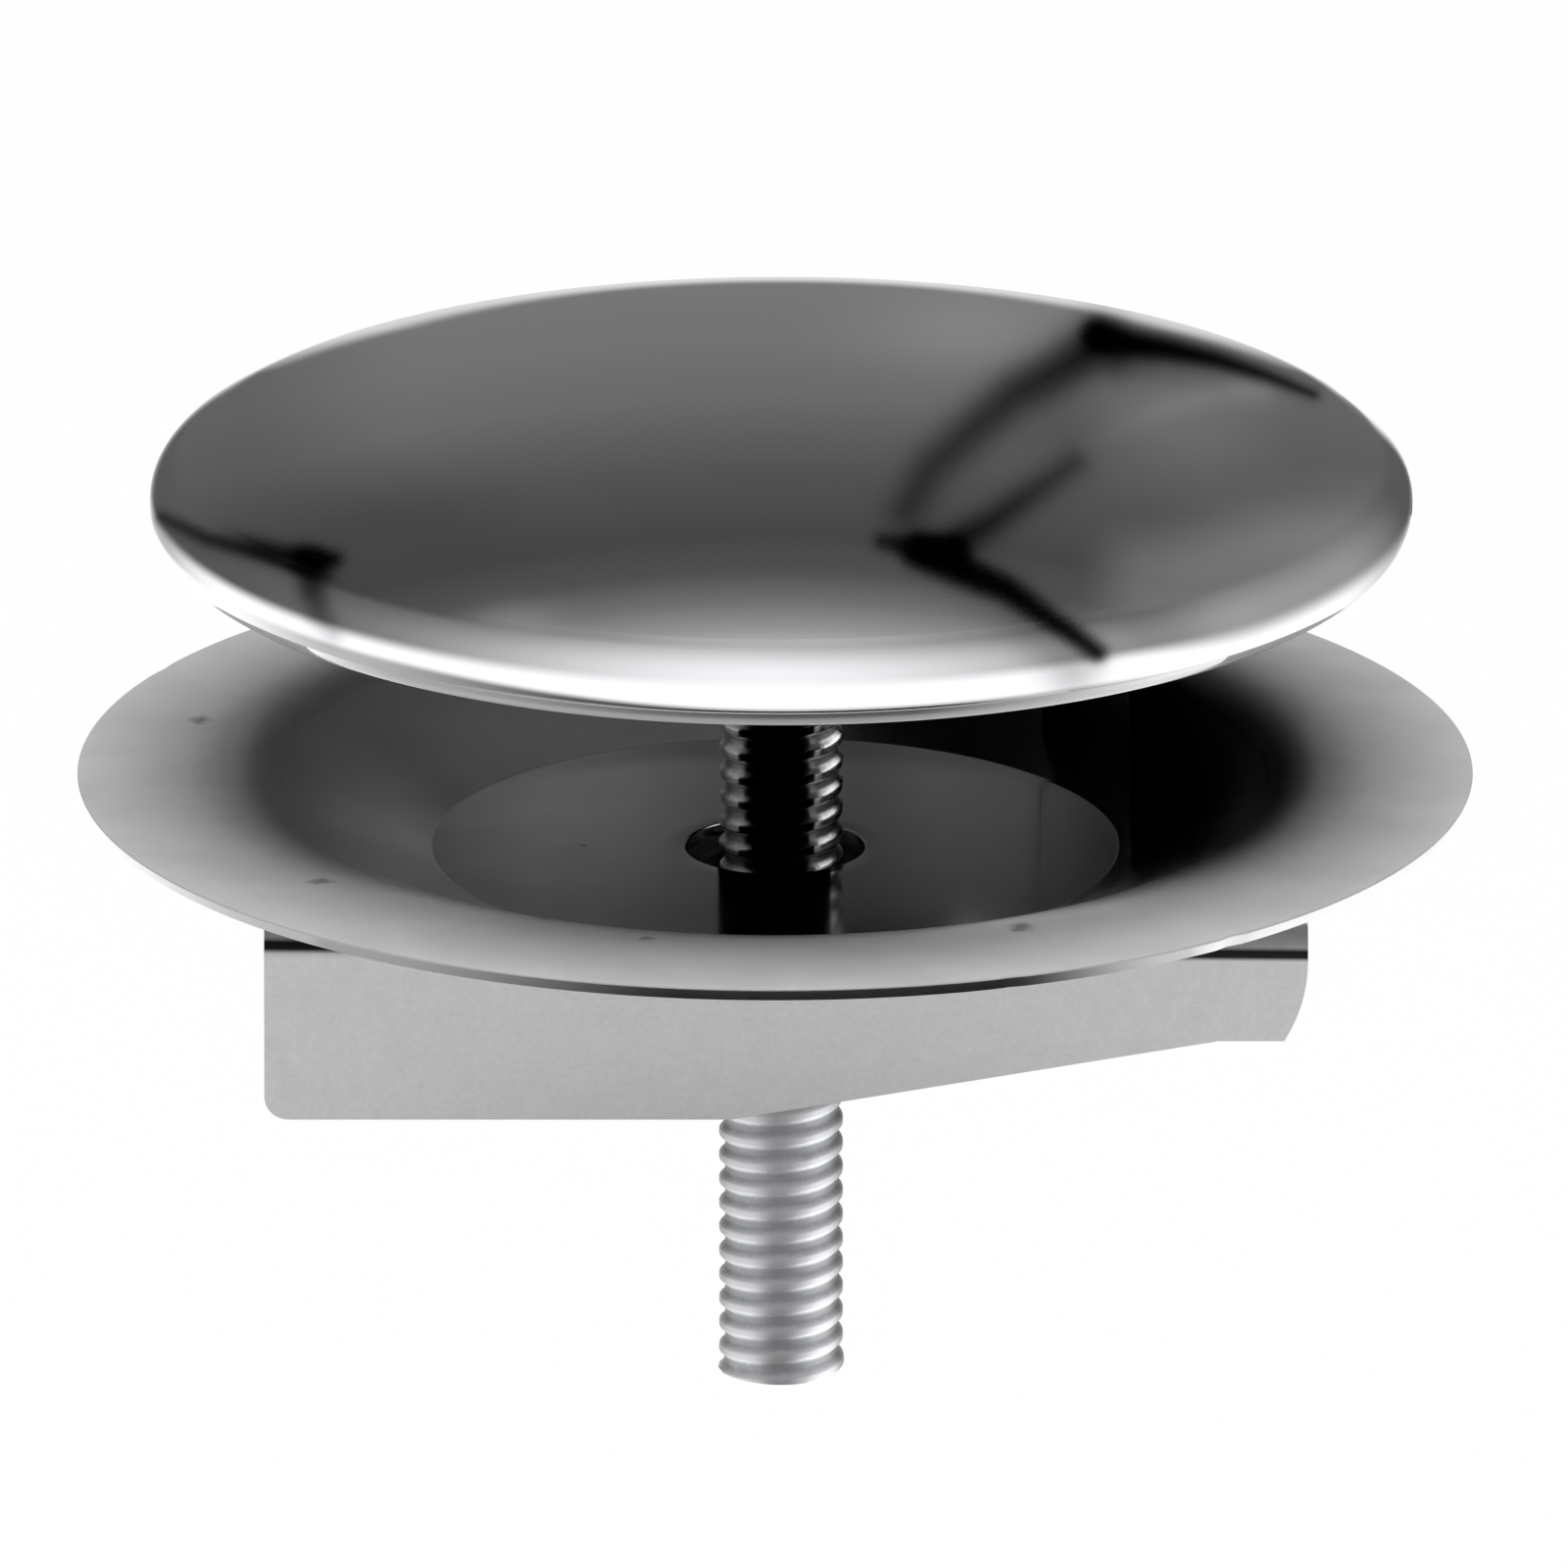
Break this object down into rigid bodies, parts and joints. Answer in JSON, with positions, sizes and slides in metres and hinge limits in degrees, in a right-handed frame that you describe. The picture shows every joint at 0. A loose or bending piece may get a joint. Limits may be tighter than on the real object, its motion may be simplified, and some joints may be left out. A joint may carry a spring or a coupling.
{
  "type": "faucet hole cover",
  "caption": "Domed plated cap on a threaded stud, with a dished clamp washer and a hand-turned wing bar, that closes an unused tap hole in a sink deck.",
  "frame": {"origin": "on the stud's axis, at the height of the flat ring under the cap's edge that seats on the deck", "axes": "+Z along the stud, out of the top of the cap; +X along the wing bar as shown; the picture looks along +Y"},
  "size_m": [0.0702, 0.0702, 0.0523],
  "materials": {
    "chrome_cap": "mirror chrome plate",
    "brass_hub": "turned, bare",
    "solder": null,
    "plated_stud": "bright zinc plate on rolled thread",
    "zinc_washer": "satin zinc plate",
    "satin_bar": "fine satin, plated"
  },
  "bodies": {
    "cap": {"cap_shell": "chrome_cap", "hub_boss": "brass_hub", "solder_ring": "solder", "threaded_stud": "plated_stud"},
    "washer": {"dish_washer": "zinc_washer"},
    "wing_bar": {"bar_nut": "satin_bar"}
  },
  "joints": [
    {"name": "washer_travel", "type": "slide", "parent": "cap", "child": "washer", "axis": [0, 0, 1], "range_m": [-0.02159, 0.01206]},
    {"name": "bar_turn", "type": "hinge", "parent": "washer", "child": "wing_bar", "pos_m": [0, 0, -0.01715], "axis": [0, 0, 1], "range_deg": [-6120, 3420]}
  ],
  "couplings": [
    {"joint": "washer_travel", "follows": "bar_turn", "m_per_rad": 0.00020213}
  ]
}
